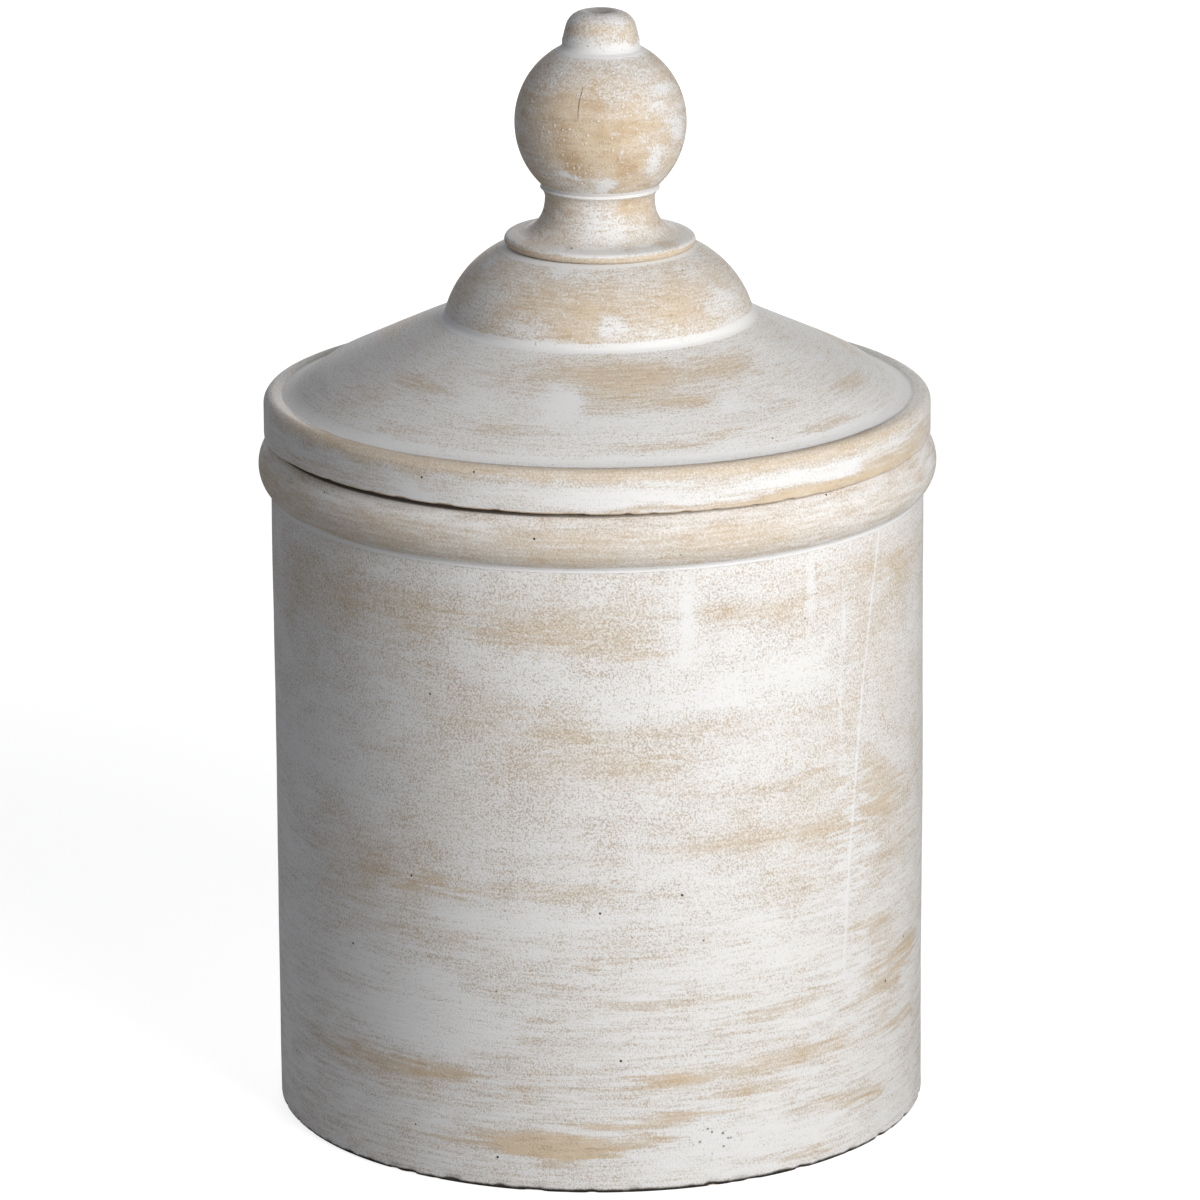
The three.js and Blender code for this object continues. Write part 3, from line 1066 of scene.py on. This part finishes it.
class CANISTER_OT_make_finial(bpy.types.Operator):
    """Make the turned finial, set a little to the right, with its limewash rubbed back to clay"""

    bl_idname = "canister.make_finial"
    bl_label = "Make Finial"

    def execute(self, context):
        lid = context.scene.canister_lid
        finial = context.scene.canister_finial
        collar_top = SEAT + 3.3 * MM
        edge = 1.5 * MM
        cove_radius = finial.neck + 8.4 * MM
        neck_level = collar_top + 10.2 * MM
        lip_level = neck_level + 4 * MM
        lip = finial.neck + 1.4 * MM
        lip_edge = 0.5 * MM
        crease = lip - 1 * MM
        bore = finial.neck - 9 * MM
        tenon = bore + 4.5 * MM
        tenon_foot = SEAT - 6 * MM
        hollow = finial.ball - finial.shell
        ball_level = lip_level + math.sqrt(finial.ball**2 - crease**2)
        ball_start = math.acos(crease / finial.ball)
        button_foot = finial.button + 0.7 * MM
        ball_end = math.acos(button_foot / finial.ball)
        foot_level = ball_level + math.sqrt(finial.ball**2 - button_foot**2)

        # The hollow of the ball, the bore and the tenon
        outline = Outline(0, ball_level + hollow)
        outline.turn(0, ball_level, -90 - math.degrees(math.acos(bore / hollow)), 14)
        outline.line(bore, tenon_foot, 3).corner(0.4 * MM)
        outline.line(tenon, tenon_foot, 2).corner(0.4 * MM)
        outline.line(tenon, SEAT, 2).corner(0.4 * MM)

        # The collar, the cove, the neck and the lip under the ball
        outline.line(COLLAR_RADIUS - edge, SEAT, 3)
        outline.turn(COLLAR_RADIUS - edge, SEAT + edge, 150, 12)
        outline.line(cove_radius, collar_top, 3).corner(0.3 * MM)
        self.cove(outline, cove_radius, collar_top, neck_level, finial.neck)
        outline.bow(lip, lip_level - lip_edge, -0.5 * MM, 8)
        outline.turn(lip - lip_edge, lip_level - lip_edge, 90, 4)
        outline.line(crease, lip_level).corner(0.25 * MM)

        # The ball, and the button with its shallow dimple
        outline.turn(0, ball_level, math.degrees(ball_start + ball_end), 90).corner(0.35 * MM)
        outline.bow(finial.button + 0.2 * MM, foot_level + 2 * MM, -0.3 * MM, 5)
        outline.line(finial.button - 0.9 * MM, TOP - 4.15 * MM, 3)
        outline.turn(finial.button - 6.6 * MM, TOP - 5.9 * MM, 73, 16)
        outline.line(0, TOP - 0.9 * MM, 4).corner(0.5 * MM)

        mesh = outline.revolve(FINIAL_SIDES)
        for vertex in mesh.verts:
            place = vertex.co
            if place.z > SEAT + 0.5 * MM:
                broad = lumps(place, 0.03, 0.03)
                fine = lumps(place, 0.008, 0.008)
                vertex.co += outwards(place) * (0.16 * broad + 0.05 * fine) * MM
        stance = finial_lean(lid, finial)
        bmesh.ops.transform(mesh, matrix=stance, verts=mesh.verts)
        mesh.normal_update()
        place_piece(
            "finial_washed",
            mesh,
            "lid",
            "finial",
            (finial_limewash(stance), bare_clay(stance)),
            lambda face: face.calc_center_median().z < SEAT,
        )
        return {"FINISHED"}

    def cove(self, outline, radius, foot, head, neck):
        """The hollow that sweeps from the collar up to the neck: a quarter of an ellipse."""
        width = radius - neck
        before = len(outline.mesh.verts)
        outline.turn(radius, foot + width, -90, 14)
        outline.mesh.verts.ensure_lookup_table()
        drawn = outline.mesh.verts[before:]
        stretch = Matrix.Diagonal((1, 1, (head - foot) / width, 1))
        pivot = Matrix.Translation((0, 0, foot))
        stretch = pivot @ stretch @ pivot.inverted()
        bmesh.ops.transform(outline.mesh, matrix=stretch, verts=drawn)


class CANISTER_OT_make_studio(bpy.types.Operator):
    """Make the floor, the white surroundings, the two soft lamps and the camera"""

    bl_idname = "canister.make_studio"
    bl_label = "Make Studio"

    def execute(self, context):
        scene = context.scene
        studio = scene.canister_studio
        mesh = bmesh.new()
        bmesh.ops.create_grid(mesh, x_segments=1, y_segments=1, size=6.0)
        data = bpy.data.meshes.new("floor")
        mesh.to_mesh(data)
        mesh.free()
        data.materials.append(self.floor_material())
        floor = bpy.data.objects.new("floor", data)
        scene.collection.objects.link(floor)
        self.surroundings(scene, studio)
        key_way = self.way(studio.key_turn, studio.key_rise)
        self.lamp(scene, "Key", studio.key_power, key_way, size=0.65, reach=1.0)
        back_way = self.way(math.pi, math.radians(5))
        self.lamp(scene, "Back", studio.back_power, back_way, size=0.7, reach=3.0)
        self.camera(scene, studio)
        scene.view_settings.view_transform = "Standard"
        return {"FINISHED"}

    def floor_material(self):
        """A grey floor that glows white to the camera alone, and keeps the canister's shadow."""
        material = bpy.data.materials.new("Floor")
        recipe = Recipe(material)
        seen = recipe.node("ShaderNodeLightPath", output="Is Camera Ray")
        plain = recipe.node("ShaderNodeBsdfDiffuse", None, {"Color": grey(0.45)})
        place = recipe.node("ShaderNodeTexCoord", output="Object")
        away = recipe.vector("LENGTH", place, output="Value")
        whiteness = recipe.blend(recipe.rise(away, 0.3, 1.4), grey(0.84), grey(1))
        glow = recipe.node("ShaderNodeEmission", None, {"Color": whiteness, "Strength": seen})
        both = recipe.node("ShaderNodeAddShader", None, {0: plain, 1: glow})
        recipe.node("ShaderNodeOutputMaterial", None, {"Surface": both})
        return material

    def surroundings(self, scene, studio):
        """White to the camera and in reflections, and else a dim fill that fades on the right."""
        scene.world = bpy.data.worlds.new("Studio")
        recipe = Recipe(scene.world)
        ray = recipe.node("ShaderNodeLightPath", output="Is Camera Ray")
        shown = ray.sum("MAXIMUM", ray, ray.other("Is Glossy Ray"))
        shown = ray.sum("MAXIMUM", shown, ray.other("Is Transmission Ray"))
        way = recipe.node("ShaderNodeTexCoord", output="Generated")
        right = recipe.vector("DOT_PRODUCT", way, towards(math.radians(95)), output="Value")
        fill = studio.fill * recipe.rise(right, -0.8, 0.6, 1, 0)
        level = fill + shown * (1 - fill)
        cool = opaque((0.94, 0.975, 1.06))
        colour = recipe.blend(shown, cool, grey(1))
        room = recipe.node("ShaderNodeBackground", None, {"Color": colour, "Strength": level})
        recipe.node("ShaderNodeOutputWorld", None, {"Surface": room})

    def way(self, turn, rise):
        """The direction to what stands a turn to the right of the front, and that high."""
        return towards(turn, math.cos(rise)) + Vector((0, 0, math.sin(rise)))

    def lamp(self, scene, name, power, way, size, reach):
        """A round lamp some way off in a direction, which faces the canister's middle."""
        light = bpy.data.lights.new(name, "AREA")
        light.shape = "DISK"
        light.size = size
        light.energy = power
        lamp = bpy.data.objects.new(name, light)
        lamp.location = Vector((0, 0, 0.16)) + way * reach
        lamp.rotation_euler = way.to_track_quat("Z", "Y").to_euler()
        scene.collection.objects.link(lamp)

    def camera(self, scene, studio):
        """A long lens from the front, a little above the canister."""
        lens = bpy.data.cameras.new("Camera")
        lens.lens = studio.lens
        lens.sensor_width = 36
        lens.clip_end = 50
        camera = bpy.data.objects.new("Camera", lens)
        aim = Vector((0.0005, 0, 0.1518))
        way = self.way(0, studio.camera_rise)
        camera.location = aim + way * studio.distance
        look = way.to_track_quat("Z", "Y").to_matrix().to_4x4()
        rolled = look @ Matrix.Rotation(studio.camera_roll, 4, "Z")
        camera.rotation_euler = rolled.to_euler()
        scene.collection.objects.link(camera)
        scene.camera = camera


class CANISTER_PT_panel(bpy.types.Panel):
    """The canister's pieces, sizes and finish"""

    bl_idname = "CANISTER_PT_panel"
    bl_label = "Limewashed Canister"
    bl_space_type = "VIEW_3D"
    bl_region_type = "UI"
    bl_category = "Canister"

    def draw(self, context):
        layout = self.layout
        for operator, settings in STEPS:
            box = layout.box()
            for name in getattr(context.scene, settings).__annotations__:
                box.prop(getattr(context.scene, settings), name)
            if operator:
                box.operator(operator)


STEPS = (
    (None, "canister_finish"),
    ("canister.make_jar", "canister_jar"),
    ("canister.make_lid", "canister_lid"),
    ("canister.make_finial", "canister_finial"),
    ("canister.make_studio", "canister_studio"),
)

SETTINGS = {
    "canister_finish": LimewashFinish,
    "canister_jar": JarShape,
    "canister_lid": LidShape,
    "canister_finial": FinialShape,
    "canister_studio": StudioSetup,
}

CLASSES = (
    *SETTINGS.values(),
    CANISTER_OT_make_jar,
    CANISTER_OT_make_lid,
    CANISTER_OT_make_finial,
    CANISTER_OT_make_studio,
    CANISTER_PT_panel,
)


def register():
    for kind in CLASSES:
        bpy.utils.register_class(kind)
    for name, kind in SETTINGS.items():
        setattr(bpy.types.Scene, name, PointerProperty(type=kind))


def unregister():
    for name in SETTINGS:
        delattr(bpy.types.Scene, name)
    for kind in reversed(CLASSES):
        bpy.utils.unregister_class(kind)


def main():
    register()
    bpy.ops.canister.make_jar()
    bpy.ops.canister.make_lid()
    bpy.ops.canister.make_finial()
    bpy.ops.canister.make_studio()


if __name__ == "__main__":
    main()
